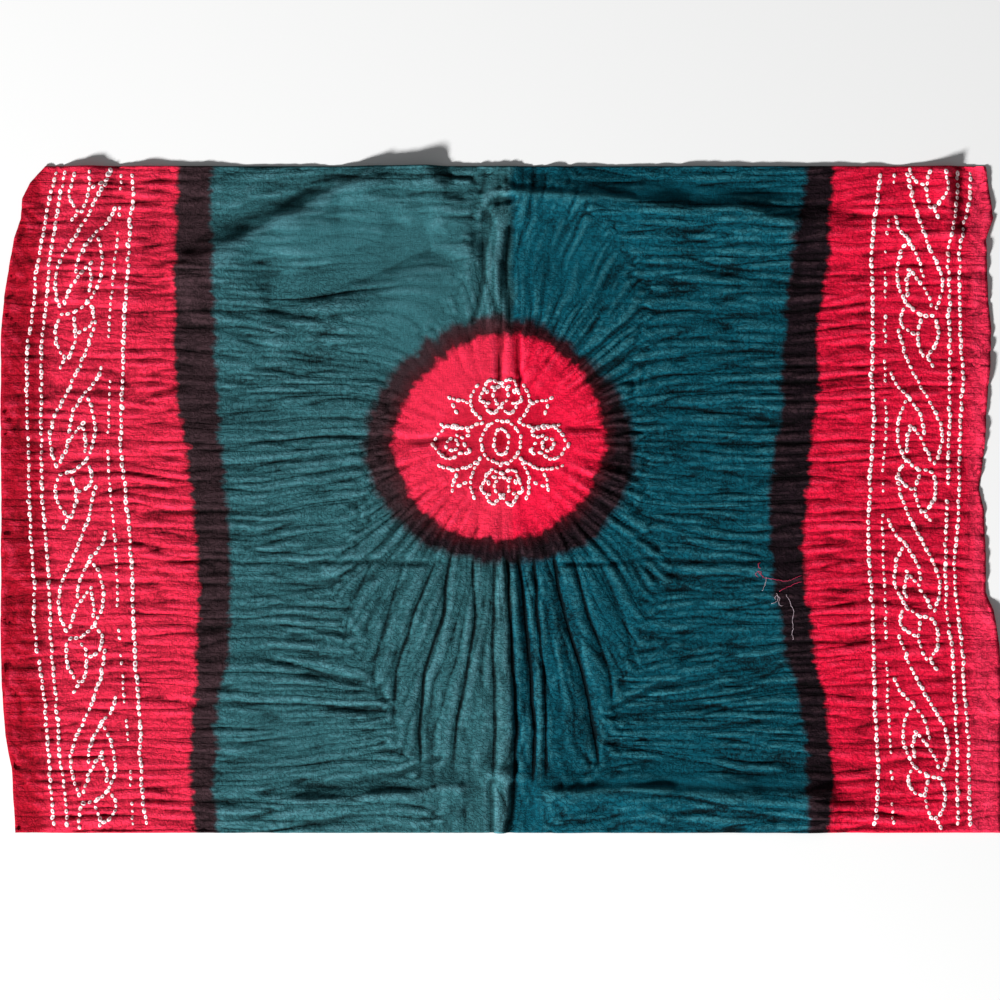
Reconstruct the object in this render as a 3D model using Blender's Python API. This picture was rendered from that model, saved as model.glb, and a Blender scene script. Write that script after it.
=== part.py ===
"""A length of tie-dyed cotton, spread out as it came from the folded state: red borders with
dotted scrollwork, black bands, a teal middle and a red medallion. One piece of cloth, one solid.

x runs across the cloth from selvedge to selvedge, y along its length, z up from the ground.
Tables are in millimetres, and the mesh is made in metres.
"""

from collections import namedtuple

import bpy
import numpy as np

MM = 0.001

# The cut length and the cloth with its fine crinkles, which fill a layer thicker than one yarn
LENGTH = 613.6
LAYER = 2.4
HALF_WIDTH = 460.5
EDGE_ZONE = 60.0      # the strip along each selvedge that follows its waviness
CONTACT_CUT = 1.1     # folds lower than this lie flat on the ground

# Each selvedge, from the top cut to the bottom one: distance from the centre line
Selvedge = namedtuple("Selvedge", "y left right")
SELVEDGES = (
    Selvedge(307, 419.5, 446.2),
    Selvedge(292, 433.3, 448.0),
    Selvedge(277, 440.7, 450.5),
    Selvedge(259, 442.0, 453.2),
    Selvedge(240, 448.0, 446.2),
    Selvedge(219, 451.7, 447.2),
    Selvedge(187, 457.2, 448.2),
    Selvedge(158, 460.0, 451.3),
    Selvedge(123, 460.2, 450.0),
    Selvedge(86, 460.4, 447.1),
    Selvedge(49, 460.1, 445.3),
    Selvedge(9, 460.0, 440.2),
    Selvedge(-10, 460.0, 444.8),
    Selvedge(-51, 460.3, 446.2),
    Selvedge(-85, 460.4, 446.2),
    Selvedge(-102, 460.2, 453.0),
    Selvedge(-134, 460.2, 459.0),
    Selvedge(-166, 460.0, 460.3),
    Selvedge(-190, 458.2, 460.5),
    Selvedge(-217, 456.3, 460.2),
    Selvedge(-247, 450.5, 460.5),
    Selvedge(-277, 449.0, 460.3),
    Selvedge(-307, 447.1, 460.5),
)

# A fold runs from (x0, y0) to (x1, y1), bowed to its left by bow. A ridge has a height above
# zero and a trough one below. left and right are the half widths of its two sides as seen
# along the run, and it dies out over fade beyond each end.
Fold = namedtuple("Fold", "name x0 y0 x1 y1 bow height left right fade")
FOLDS = (
    Fold("slanting fold, top left", -300, 196, -60, 312, 8, 11.0, 21, 40, 30),
    Fold("second slanting fold", -220, 147, -20, 235, -12, 6.0, 22, 24, 25),
    Fold("loose loop beside the centre", -70, 239, -17, 270, 13, 3.0, 9, 11, 12),
    Fold("cross fold, top right", 10, 283, 273, 258, 2, 8.0, 15, 38, 12),
    Fold("cross fold through the right border", 273, 258, 395, 242, -5, 4.5, 14, 30, 24),
    Fold("lengthwise pleat", -3, 271, -4, 156, -1, 5.0, 11, 9, 14),
    Fold("groove right of the pleat", 14, 255, 12, 156, 0, -3.5, 6, 7, 12),
    Fold("crease left of the pleat", -16, 264, -30, 167, 4, -2.2, 6, 8, 12),
    Fold("pinched curl over the pleat", -17, 276, 11, 281, 10, 5.0, 8, 9, 8),
    Fold("fan trough, far left", -119, -58, -157, -129, -6, -1.6, 8, 9, 18),
    Fold("fan trough, left", -56, -57, -107, -192, 16, -3.0, 8, 9, 14),
    Fold("fan trough, inner left", -32, -58, -70, -217, 9, -2.6, 7, 8, 14),
    Fold("fan trough, beside the centre", -10, -58, -32, -240, 4, -2.2, 7, 7, 14),
    Fold("fan trough, deepest", 17, -56, 15, -251, 9, -5.0, 7, 8, 12),
    Fold("fan trough, inner right", 34, -58, 54, -226, 0, -2.4, 7, 7, 14),
    Fold("fan trough, right", 50, -58, 94, -223, -5, -3.0, 8, 8, 14),
    Fold("fan trough, far right", 82, -58, 128, -138, 1, -1.8, 8, 9, 18),
    Fold("junction crease, left", -185, -56, -107, -192, 16, -1.6, 8, 9, 14),
    Fold("crease into the left junction", -208, -143, -107, -192, 8, -1.8, 9, 9, 20),
    Fold("crease into the right junction", 107, -199, 266, -159, 4, -1.8, 9, 9, 20),
    Fold("cross fold, bottom right", 32, -269, 307, -274, 2, 8.0, 13, 36, 14),
    Fold("cross fold, bottom left", -266, -293, -29, -266, 5, 4.0, 12, 26, 24),
    Fold("pinched fold at the bottom", 2, -250, 2, -313, 0, 6.0, 10, 10, 10),
    Fold("hollow beside the pinch", 18, -262, 16, -304, 7, -5.0, 7, 10, 8),
    Fold("crease across, left of the ring", -231, -61, -52, -56, 2, -1.4, 7, 7, 20),
    Fold("crease across, right of the ring", 43, -58, 174, -56, -1, -1.2, 7, 7, 20),
    Fold("medallion crease, left", -100, 57, -32, 60, 0, -1.4, 8, 10, 16),
    Fold("medallion crease, right", 31, 69, 102, 69, 2, -1.0, 8, 8, 16),
    Fold("left border fold, outer", -376, 312, -420, 184, -2, 5.0, 11, 22, 40),
    Fold("left border fold, inner", -323, 312, -343, 165, -4, 4.0, 16, 17, 60),
    Fold("right border fold, top", 408, 312, 411, 239, 0, 4.5, 10, 24, 26),
)

# Broad low rises that the folds sit on
Swell = namedtuple("Swell", "name x y half_width half_length height")
SWELLS = (
    Swell("below the medallion, the fan", 6, -160, 78, 96, 5.0),
    Swell("medallion", 0, 55, 118, 104, 2.8),
    Swell("teal, right of the pleat", 120, 205, 95, 55, 2.6),
    Swell("teal, left side", -190, 20, 60, 70, 1.8),
    Swell("teal, right side", 205, 10, 60, 95, 1.6),
    Swell("teal, low left", -180, -190, 80, 45, 2.0),
    Swell("teal, low right", 190, -205, 75, 40, 2.0),
    Swell("left border", -385, -60, 38, 150, 1.8),
    Swell("right border", 382, -70, 36, 170, 1.8),
)

# Slow unevenness of the whole cloth: wave lengths across and along it, and the sideways sway
Wander = namedtuple("Wander", "across along sway")
WANDERS = (
    Wander(97, 171, 1.5),
    Wander(-53, 88, 1.0),
)
UNEVEN = 0.16         # how much a fold's height rises and falls along its run
UNEVEN_SPACING = 74.0

# Waves of the loose selvedges: one crest to the next along y, height, and where a crest lies
Ruffle = namedtuple("Ruffle", "side spacing height crest")
RUFFLES = (
    Ruffle(-1, 64, 1.8, 18),
    Ruffle(-1, 91, 1.6, -40),
    Ruffle(1, 57, 2.0, 6),
    Ruffle(1, 83, 1.8, 60),
)
RUFFLE_REACH = 26.0

# Mesh lines: from one place to the next in this many steps, closer where the folds are sharper
Run = namedtuple("Run", "start stop steps")
COLUMNS = (
    Run(-HALF_WIDTH, -300, 9), Run(-300, -120, 10), Run(-120, -32, 8), Run(-32, 32, 10),
    Run(32, 122, 8), Run(122, 300, 9), Run(300, HALF_WIDTH, 9),
)
ROWS = (
    Run(-LENGTH / 2, -288, 1), Run(-288, -246, 5), Run(-246, 236, 31), Run(236, 292, 6),
    Run(292, LENGTH / 2, 1),
)


def lines(runs):
    """The places of the mesh lines along one direction."""
    places = [runs[0].start]
    for run in runs:
        places += list(np.linspace(run.start, run.stop, run.steps + 1)[1:])
    return np.array(places)


def ease(v):
    """0 below 0, 1 above 1, and smooth between."""
    v = np.clip(v, 0.0, 1.0)
    return v * v * (3.0 - 2.0 * v)


def fold_height(fold, x, y):
    """One ridge or trough: a soft hump across its run, fading beyond both ends."""
    run_x, run_y = fold.x1 - fold.x0, fold.y1 - fold.y0
    run = np.hypot(run_x, run_y)
    along = ((x - fold.x0) * run_x + (y - fold.y0) * run_y) / run
    aside = ((y - fold.y0) * run_x - (x - fold.x0) * run_y) / run
    part = np.clip(along / run, 0.0, 1.0)
    aside = aside - fold.bow * 4.0 * part * (1.0 - part)
    beyond = np.maximum(-along, along - run) / fold.fade
    across = aside / np.where(aside > 0, fold.left, fold.right)
    rise = 1.0 + UNEVEN * np.cos(2.0 * np.pi * (along - fold.y0) / UNEVEN_SPACING)
    return fold.height * rise * np.exp(-across**2) * (1.0 - ease(beyond + 0.5))


def swell_height(swell, x, y):
    reach = ((x - swell.x) / swell.half_width) ** 2 + ((y - swell.y) / swell.half_length) ** 2
    return swell.height * np.exp(-reach)


def ruffle_height(ruffle, x, y):
    """A selvedge wave, highest at the edge and gone a little way in."""
    inward = HALF_WIDTH - ruffle.side * x
    wave = 0.5 + 0.5 * np.cos(2.0 * np.pi * (y - ruffle.crest) / ruffle.spacing)
    return ruffle.height * wave**2 * np.exp(-((np.maximum(inward, 0.0) / RUFFLE_REACH) ** 2))


def wander(x, y):
    """Slow waves that keep every fold from running dead straight or even."""
    aside = sum(w.sway * np.sin(2.0 * np.pi * (x / w.across + y / w.along)) for w in WANDERS)
    ahead = sum(w.sway * np.cos(2.0 * np.pi * (y / w.across - x / w.along)) for w in WANDERS)
    return x + aside, y + ahead


def lift(x, y):
    """How far the cloth stands off the ground at each place."""
    fold_x, fold_y = wander(x, y)
    height = sum(swell_height(swell, x, y) for swell in SWELLS)
    height = height + sum(fold_height(fold, fold_x, fold_y) for fold in FOLDS)
    height = height + sum(ruffle_height(ruffle, x, y) for ruffle in RUFFLES)
    return np.maximum(height - CONTACT_CUT, 0.0)


def placed(x, y):
    """Moves the outer strips of the mesh out or in to the selvedges."""
    tops = [s.y for s in SELVEDGES][::-1]
    left = np.interp(y, tops, [s.left for s in SELVEDGES][::-1])
    right = np.interp(y, tops, [s.right for s in SELVEDGES][::-1])
    edge = np.where(x < 0, left, right)
    inner = HALF_WIDTH - EDGE_ZONE
    outer = np.maximum(np.abs(x) - inner, 0.0) / EDGE_ZONE
    return np.where(outer > 0, np.sign(x) * (inner + outer * (edge - inner)), x)


def two_triangles(a, b, c, d, height):
    """Splits a cell along the diagonal whose ends are closer in height, so folds stay crisp."""
    if abs(height[a] - height[c]) <= abs(height[b] - height[d]):
        return [(a, b, c), (a, c, d)]
    return [(a, b, d), (b, c, d)]


def cloth_mesh():
    columns, rows = lines(COLUMNS), lines(ROWS)
    flat_x, y = np.meshgrid(columns, rows)
    x = placed(flat_x, y)
    top = LAYER + lift(x, y)
    under = np.maximum(top - LAYER, 0.0)
    across, count = len(columns), flat_x.size
    points = np.concatenate([
        np.column_stack([x.ravel(), y.ravel(), top.ravel()]),
        np.column_stack([x.ravel(), y.ravel(), under.ravel()]),
    ]) * MM
    height = top.ravel()
    faces = []
    for row in range(len(rows) - 1):
        for column in range(across - 1):
            a = row * across + column
            corners = (a, a + 1, a + 1 + across, a + across)
            for one, two, three in two_triangles(*corners, height):
                faces.append((one, two, three))
                faces.append((one + count, three + count, two + count))
    last = (len(rows) - 1) * across
    rim = [range(across), range(across - 1, count, across)]
    rim += [range(count - 1, last - 1, -1), range(last, -1, -across)]
    for side in rim:
        for one, two in zip(side, side[1:]):
            faces.append((one, one + count, two + count))
            faces.append((one, two + count, two))
    return points, faces


def dyed_cotton():
    material = bpy.data.materials.new("dyed cotton")
    material.use_nodes = True
    shader = material.node_tree.nodes["Principled BSDF"]
    shader.inputs["Base Color"].default_value = (0.50, 0.030, 0.060, 1.0)
    shader.inputs["Roughness"].default_value = 0.85
    return material


for thing in list(bpy.data.objects):
    bpy.data.objects.remove(thing)

points, faces = cloth_mesh()
mesh = bpy.data.meshes.new("cloth")
mesh.from_pydata(points.tolist(), [], faces)
mesh.validate()
cloth = bpy.data.objects.new("cloth", mesh)
mesh.materials.append(dyed_cotton())
bpy.context.scene.collection.objects.link(cloth)
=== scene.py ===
import math
from collections import namedtuple

import bpy
import numpy as np
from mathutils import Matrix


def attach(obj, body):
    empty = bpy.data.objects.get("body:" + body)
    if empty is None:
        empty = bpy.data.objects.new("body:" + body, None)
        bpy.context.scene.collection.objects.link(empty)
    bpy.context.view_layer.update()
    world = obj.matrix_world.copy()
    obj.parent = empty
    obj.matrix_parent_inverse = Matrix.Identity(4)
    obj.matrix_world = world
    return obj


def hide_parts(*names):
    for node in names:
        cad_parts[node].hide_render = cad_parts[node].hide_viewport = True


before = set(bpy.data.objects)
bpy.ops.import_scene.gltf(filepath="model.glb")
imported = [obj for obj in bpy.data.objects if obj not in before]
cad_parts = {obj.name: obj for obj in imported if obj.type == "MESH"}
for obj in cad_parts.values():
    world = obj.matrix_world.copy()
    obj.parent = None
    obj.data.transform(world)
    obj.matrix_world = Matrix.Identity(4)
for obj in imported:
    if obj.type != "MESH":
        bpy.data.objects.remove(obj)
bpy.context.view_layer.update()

# A cut length of bandhani: thin crinkled cotton, resist-dyed crimson, black and teal. The
# camera hangs straight above it. The picture is square, and one of its pixels covers PIXEL
# millimetres of the cloth.
MM = 0.001
PIXEL = 0.92
PICTURE_SIDE = 1000
LENS = 85.0
SENSOR = 36.0
PICTURE_CENTRE = (-0.9 * MM, -0.5 * MM)
MEAN_TOP = 3.0 * MM
FAR_CLIP = 50.0

camera_data = bpy.data.cameras.new("overhead")
camera_data.lens = LENS
camera_data.sensor_fit = "HORIZONTAL"
camera_data.sensor_width = SENSOR
camera_data.clip_end = FAR_CLIP
camera = bpy.data.objects.new("overhead", camera_data)
camera_height = MEAN_TOP + PICTURE_SIDE * PIXEL * MM * LENS / SENSOR
camera.location = (*PICTURE_CENTRE, camera_height)
bpy.context.scene.collection.objects.link(camera)
bpy.context.scene.camera = camera
bpy.context.scene.view_settings.view_transform = "Standard"

# The lay of the cloth: thin cotton keeps the folds that it was packed and tied in. Ridges and
# troughs stand on broad swells, as in the solid, and finer creases run between them. Each has
# its own run, height and reach to its left and right, in millimetres.
HALF_WIDTH = 460.5
LENGTH = 613.6
EDGE_ZONE = 60.0
CONTACT_CUT = 1.1
SOFT_CONTACT = 0.5        # rounds the line where a fold meets the ground

Selvedge = namedtuple("Selvedge", "y left right")
SELVEDGES = (
    Selvedge(307, 419.5, 446.2),
    Selvedge(292, 433.3, 448.0),
    Selvedge(277, 440.7, 450.5),
    Selvedge(259, 442.0, 453.2),
    Selvedge(240, 448.0, 446.2),
    Selvedge(219, 451.7, 447.2),
    Selvedge(187, 457.2, 448.2),
    Selvedge(158, 460.0, 451.3),
    Selvedge(123, 460.2, 450.0),
    Selvedge(86, 460.4, 447.1),
    Selvedge(49, 460.1, 445.3),
    Selvedge(9, 460.0, 440.2),
    Selvedge(-10, 460.0, 444.8),
    Selvedge(-51, 460.3, 446.2),
    Selvedge(-85, 460.4, 446.2),
    Selvedge(-102, 460.2, 453.0),
    Selvedge(-134, 460.2, 459.0),
    Selvedge(-166, 460.0, 460.3),
    Selvedge(-190, 458.2, 460.5),
    Selvedge(-217, 456.3, 460.2),
    Selvedge(-247, 450.5, 460.5),
    Selvedge(-277, 449.0, 460.3),
    Selvedge(-307, 447.1, 460.5),
)

Fold = namedtuple("Fold", "name x0 y0 x1 y1 bow height left right fade")
FOLDS = (
    Fold("slanting fold, top left", -300, 196, -60, 312, 8, 11.0, 21, 40, 30),
    Fold("second slanting fold", -220, 147, -20, 235, -12, 6.0, 22, 24, 25),
    Fold("loose loop beside the centre", -70, 239, -17, 270, 13, 3.0, 9, 11, 12),
    Fold("cross fold, top right", 10, 283, 273, 258, 2, 8.0, 15, 38, 26),
    Fold("cross fold through the right border", 273, 258, 395, 242, -5, 4.5, 14, 30, 24),
    Fold("lengthwise pleat", -3, 271, -4, 156, -1, 5.0, 11, 9, 24),
    Fold("groove right of the pleat", 14, 255, 12, 156, 0, -3.5, 6, 7, 24),
    Fold("crease left of the pleat", -16, 264, -30, 167, 4, -2.2, 6, 8, 12),
    Fold("pinched curl over the pleat", -17, 276, 11, 281, 10, 5.0, 8, 9, 8),
    Fold("fan trough, far left", -119, -58, -157, -129, -6, -1.6, 8, 9, 18),
    Fold("fan trough, left", -56, -57, -107, -192, 16, -3.0, 8, 9, 14),
    Fold("fan trough, inner left", -32, -58, -70, -217, 9, -2.6, 7, 8, 14),
    Fold("fan trough, beside the centre", -10, -58, -32, -240, 4, -2.2, 7, 7, 14),
    Fold("fan trough, deepest", 17, -56, 15, -251, 9, -5.0, 7, 8, 12),
    Fold("fan trough, inner right", 34, -58, 54, -226, 0, -2.4, 7, 7, 14),
    Fold("fan trough, right", 50, -58, 94, -223, -5, -3.0, 8, 8, 14),
    Fold("fan trough, far right", 82, -58, 128, -138, 1, -1.8, 8, 9, 18),
    Fold("junction crease, left", -185, -56, -107, -192, 16, -1.6, 8, 9, 14),
    Fold("crease into the left junction", -208, -143, -107, -192, 8, -1.8, 9, 9, 20),
    Fold("crease into the right junction", 107, -199, 266, -159, 4, -1.8, 9, 9, 20),
    Fold("cross fold, bottom right", 32, -269, 307, -274, 2, 8.0, 17, 36, 40),
    Fold("cross fold, bottom left", -266, -293, -29, -266, 5, 4.0, 12, 26, 24),
    Fold("pinched fold at the bottom", 2, -250, 2, -313, 0, 6.0, 10, 10, 10),
    Fold("hollow beside the pinch", 18, -262, 16, -304, 7, -5.0, 7, 10, 8),
    Fold("crease across, left of the ring", -231, -61, -52, -56, 2, -1.4, 7, 7, 20),
    Fold("crease across, right of the ring", 43, -58, 174, -56, -1, -1.2, 7, 7, 20),
    Fold("medallion crease, left", -100, 57, -32, 60, 0, -1.4, 8, 10, 16),
    Fold("medallion crease, right", 31, 69, 102, 69, 2, -1.0, 8, 8, 16),
    Fold("left border fold, outer", -376, 312, -420, 184, -2, 5.0, 11, 22, 40),
    Fold("left border fold, inner", -323, 312, -343, 165, -4, 4.0, 16, 17, 60),
    Fold("right border fold, top", 408, 312, 411, 239, 0, 4.5, 10, 24, 26),
)

CREASES = (
    Fold("left edge of the pleat", -10, 268, -28, 164, 5, -1.6, 2.4, 4, 8),
    Fold("line down the pleat", -6, 262, 0, 160, -3, -1.2, 2.2, 2.4, 10),
    Fold("groove beside the pleat", 8, 252, 11, 158, 2, -2.4, 2.6, 3.4, 8),
    Fold("lip of the top cross fold", 12, 282, 273, 257, 2, 1.1, 3.4, 12, 8),
    Fold("top of the curl", -14, 272, 6, 281, 7, 2.2, 3, 3, 4),
    Fold("hole of the curl", -3, 277, 12, 276, 0, -3.6, 3.2, 3.6, 5),
    Fold("left junction, upper", -190, -124, -138, -124, 2, -1.4, 2.4, 2.8, 10),
    Fold("left junction, lower", -158, -190, -100, -196, 1, -1.6, 2.4, 2.8, 10),
    Fold("left junction, short", -111, -168, -101, -194, -4, -1.6, 2.4, 2.8, 6),
    Fold("right junction, lower", 104, -198, 200, -188, 2, -1.7, 2.4, 2.8, 14),
    Fold("right junction, upper", 104, -191, 196, -163, 4, -1.7, 2.4, 2.8, 14),
    Fold("bottom left crease", -190, -262, -52, -234, -8, -1.5, 2.6, 3, 16),
    Fold("lip of the bottom left fold", -190, -277, -32, -266, 1, 1.1, 2.2, 7, 14),
    Fold("left edge of the pinch", -7, -256, -9, -312, 0, -1.8, 2.4, 2.6, 4),
    Fold("right edge of the pinch", 11, -260, 9, -312, 0, -2.6, 2.6, 3, 4),
    Fold("lip of the bottom right fold", 36, -268, 307, -273, 1, 1.1, 3.4, 12, 10),
    Fold("line across, left of the ring", -178, -58, -52, -57, 1, -1.3, 2.2, 2.4, 12),
    Fold("line across, right of the ring", 56, -59, 170, -57, 1, -1.1, 2.2, 2.4, 16),
    Fold("medallion line, left", -128, 52, -40, 56, 2, -1.2, 2.0, 3.4, 10),
    Fold("medallion line, right", 60, 66, 128, 62, 2, -1.0, 2.0, 3.0, 10),
    Fold("medallion line, top", -2, 158, -1, 104, 0, -1.8, 2.4, 2.8, 10),
    Fold("medallion line, top right", 17, 158, 16, 108, 0, -1.6, 2.4, 2.8, 10),
    Fold("lip of the slanting fold", -292, 216, -116, 303, -3, 1.5, 3.8, 22, 18),
    Fold("hollow behind the slanting fold", -292, 230, -128, 314, -3, -1.3, 16, 7, 18),
    Fold("fold down the left border", -363, 306, -396, 184, -2, 1.9, 9, 20, 20),
    Fold("fold down the right border", 408, 306, 410, 240, 0, 2.2, 11, 22, 18),
    Fold("hollow above the bottom right fold", 36, -261, 307, -266, 1, -0.4, 4, 5, 14),
    Fold("hollow above the top right fold", 12, 290, 273, 265, 1, -0.8, 4, 5, 12),
    Fold("line behind the slanting fold", -300, 246, -170, 288, 2, -1.0, 2.6, 4, 18),
    Fold("soft valley, upper left", -215, 184, -63, 249, -7, -2.6, 20, 12, 20),
    Fold("soft valley beside the pleat", -105, 262, -32, 214, -9, -1.2, 9, 9, 16),
    Fold("crease to the medallion's left", -222, 56, -186, 46, 1, -0.8, 2.6, 3, 8),
    Fold("its rise", -186, 46, -160, 57, 2, -0.9, 2.6, 3, 8),
    Fold("its run to the ring", -160, 57, -60, 54, 2, -0.8, 2.4, 3, 14),
    Fold("crease low left of the ring", -112, -44, -62, 10, 3, -0.9, 2.6, 3, 12),
)

Swell = namedtuple("Swell", "name x y half_width half_length height")
SWELLS = (
    Swell("below the medallion, the fan", 6, -160, 78, 96, 5.0),
    Swell("medallion", 0, 55, 118, 104, 2.8),
    Swell("teal, right of the pleat", 120, 205, 95, 55, 2.6),
    Swell("teal, left side", -190, 20, 60, 70, 1.8),
    Swell("teal, right side", 205, 10, 60, 95, 1.6),
    Swell("teal, low left", -180, -190, 80, 45, 2.0),
    Swell("teal, low right", 190, -205, 75, 40, 2.0),
    Swell("left border", -385, -60, 38, 150, 1.8),
    Swell("right border", 382, -70, 36, 170, 1.8),
)

Wander = namedtuple("Wander", "across along sway")
WANDERS = (
    Wander(97, 171, 1.5),
    Wander(-53, 88, 1.0),
)
UNEVEN = 0.16
UNEVEN_SPACING = 74.0

Ruffle = namedtuple("Ruffle", "side spacing height crest")
RUFFLES = (
    Ruffle(-1, 64, 1.8, 18),
    Ruffle(-1, 91, 1.6, -40),
    Ruffle(1, 57, 2.0, 6),
    Ruffle(1, 83, 1.8, 60),
)
RUFFLE_REACH = 26.0


def ease(v):
    """0 below 0, 1 above 1, and smooth between."""
    v = np.clip(v, 0.0, 1.0)
    return v * v * (3.0 - 2.0 * v)


def fold_height(fold, x, y):
    run_x, run_y = fold.x1 - fold.x0, fold.y1 - fold.y0
    run = np.hypot(run_x, run_y)
    along = ((x - fold.x0) * run_x + (y - fold.y0) * run_y) / run
    aside = ((y - fold.y0) * run_x - (x - fold.x0) * run_y) / run
    part = np.clip(along / run, 0.0, 1.0)
    aside = aside - fold.bow * 4.0 * part * (1.0 - part)
    beyond = np.maximum(-along, along - run) / fold.fade
    across = aside / np.where(aside > 0, fold.left, fold.right)
    rise = 1.0 + UNEVEN * np.cos(2.0 * np.pi * (along - fold.y0) / UNEVEN_SPACING)
    return fold.height * rise * np.exp(-across**2) * (1.0 - ease(beyond + 0.5))


def patch_share(patch, x, y):
    """1 at a patch's middle, falling away over its half width and half length."""
    reach = ((x - patch.x) / patch.half_width) ** 2 + ((y - patch.y) / patch.half_length) ** 2
    return np.exp(-reach)


def ruffle_height(ruffle, x, y):
    inward = HALF_WIDTH - ruffle.side * x
    wave = 0.5 + 0.5 * np.cos(2.0 * np.pi * (y - ruffle.crest) / ruffle.spacing)
    return ruffle.height * wave**2 * np.exp(-((np.maximum(inward, 0.0) / RUFFLE_REACH) ** 2))


def wander(x, y):
    aside = sum(w.sway * np.sin(2.0 * np.pi * (x / w.across + y / w.along)) for w in WANDERS)
    ahead = sum(w.sway * np.cos(2.0 * np.pi * (y / w.across - x / w.along)) for w in WANDERS)
    return x + aside, y + ahead


def lift(x, y):
    """How far the folds stand off the ground, meeting it in a rounded line."""
    fold_x, fold_y = wander(x, y)
    height = sum(swell.height * patch_share(swell, x, y) for swell in SWELLS)
    height = height + sum(fold_height(fold, fold_x, fold_y) for fold in FOLDS)
    height = height + sum(ruffle_height(ruffle, x, y) for ruffle in RUFFLES) - CONTACT_CUT
    return 0.5 * (height + np.sqrt(height**2 + SOFT_CONTACT**2))


def down(table, column, y):
    """A table's value at each place down the cloth, between its rows."""
    upward = table[::-1]
    return np.interp(y, [row.y for row in upward], [getattr(row, column) for row in upward])


def edge_at(x, y):
    """Distance of the nearer side's selvedge from the centre line."""
    return np.where(x < 0, down(SELVEDGES, "left", y), down(SELVEDGES, "right", y))


def placed(x, y):
    """Moves the outer strips of the mesh out or in to the selvedges."""
    inner = HALF_WIDTH - EDGE_ZONE
    outer = np.maximum(np.abs(x) - inner, 0.0) / EDGE_ZONE
    return np.where(outer > 0, np.sign(x) * (inner + outer * (edge_at(x, y) - inner)), x)


# The crinkles: every tied point gathered the cotton, so it dried in long narrow puffs with sharp
# creases between. They run across the borders and the field, and fan out round the medallion.
# Below the ring they give way to lengthwise pleats.
CENTRE_X, CENTRE_Y = -1.4, 54.7
GATHER_REACH = 94.0       # the creases to both sides bend towards the medallion within this
GATHER_UP = 95.0
GATHER_DOWN = 100.0
GATHER_NEAREST = 40.0
AROUND = 104              # puffs round the medallion
NARROWEST = 4.5           # near the centre, puffs narrower than this close up
CLOSING = 0.7
CLOSED = 0.4              # the ripple under a closed puff
SHOULDER = 0.5            # the ripple from which a puff is at its full height
CRINKLE = 4.2
CREASE_DEPTH = 2.0        # share of the depths in the table of creases
LATTICE = 256
RIPPLE_GAIN = 1.5

Tie = namedtuple("Tie", "x y half_width half_length pull")
TIES = (
    Tie(-112, -198, 85, 52, 0.70),
    Tie(112, -200, 110, 56, 0.90),
    Tie(150, -20, 50, 40, 0.30),
    Tie(-165, 110, 70, 40, 0.30),
    Tie(-345, 60, 30, 60, 0.15),
    Tie(345, -40, 30, 60, 0.15),
)
Puffs = namedtuple("Puffs", "name long narrow count share seed")
PUFFS = (
    Puffs("broad", 170.0, 17.0, 0.5, 0.34, 11),
    Puffs("common", 105.0, 9.5, 1.0, 0.42, 12),
    Puffs("fine", 55.0, 5.4, 2.0, 0.24, 13),
)
CRUMPLE = Puffs("crumpled, where the two meet", 12.0, 10.0, 0.0, 1.0, 24)

# Each row of the pleats has one sharp crease's places across the cloth, at the five stations
# down it, and its depth and lower end.
FAN_STATIONS = (-56, -105, -160, -215, -262)
FanCrease = namedtuple("FanCrease", "name top upper middle low foot depth end")
FAN_CREASES = (
    FanCrease("outermost left", -118, -140, -150, -132, -120, 0.5, -140),
    FanCrease("left, wide", -88, -104, -118, -108, -100, 0.8, -180),
    FanCrease("left, forked", -60, -80, -97, -100, -92, 1.3, -190),
    FanCrease("left, long", -47, -53, -70, -75, -74, 1.7, -240),
    FanCrease("left, bowed", -26, -23, -31, -42, -44, 1.4, -235),
    FanCrease("beside the centre", -6, -7, -7, -5, -8, 1.3, -245),
    FanCrease("centre", 6, 8, 12, 15, 12, 2.0, -262),
    FanCrease("deepest", 16, 23, 27, 31, 30, 2.8, -250),
    FanCrease("right, straight", 31, 33, 40, 41, 42, 1.8, -245),
    FanCrease("right, long", 49, 58, 75, 87, 92, 2.2, -238),
    FanCrease("right, wide", 66, 80, 100, 106, 104, 0.9, -185),
    FanCrease("outermost right", 90, 112, 126, 122, 116, 0.6, -150),
)
PLEAT_TOP = -44.0
PLEAT_FOOT = -275.0
PLEAT_BLEND = 30.0
PLEAT_RISE = 1.3
PLEAT_DEPTH = 1.2
PLEAT_WIDTH = 2.8
CREASE_START = 22.0       # over how much of its length a pleat's crease deepens and runs out
CREASE_END = 34.0

Region = namedtuple("Region", "y left right")
FAN_REGION = (
    Region(307, -19, 54),
    Region(262, -19, 91),
    Region(220, -30, 124),
    Region(165, -56, 137),
    Region(120, -92, 124),
    Region(55, -118, 124),
    Region(0, -128, 128),
    Region(-40, -138, 138),
    Region(-58, -166, 158),
    Region(-98, -148, 137),
    Region(-148, -128, 120),
    Region(-192, -105, 107),
    Region(-240, -93, 100),
    Region(-264, -70, 62),
    Region(-307, -60, 50),
)
FAN_BLEND = 20.0
Zigzag = namedtuple("Zigzag", "sway spacing")
ZIGZAGS = (
    Zigzag(7.0, 27.0),
    Zigzag(4.0, 11.0),
)

Calm = namedtuple("Calm", "name x y half_width half_length share")
CALMS = (
    Calm("loose folds, upper left", -150, 248, 120, 46, 0.34),
    Calm("soft patch left of the pleat", -70, 200, 52, 60, 0.35),
    Calm("medallion, upper left", -62, 128, 56, 52, 0.35),
    Calm("along the bottom right fold", 170, -262, 150, 11, 0.40),
    Calm("along the top right fold", 150, 282, 140, 11, 0.40),
    Calm("right of the pleat", 75, 220, 55, 40, 0.60),
    Calm("teal, low left", -205, -215, 60, 30, 0.65),
)
CENTRE_CALM = 0.60
CENTRE_CALM_REACH = 96.0

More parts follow.
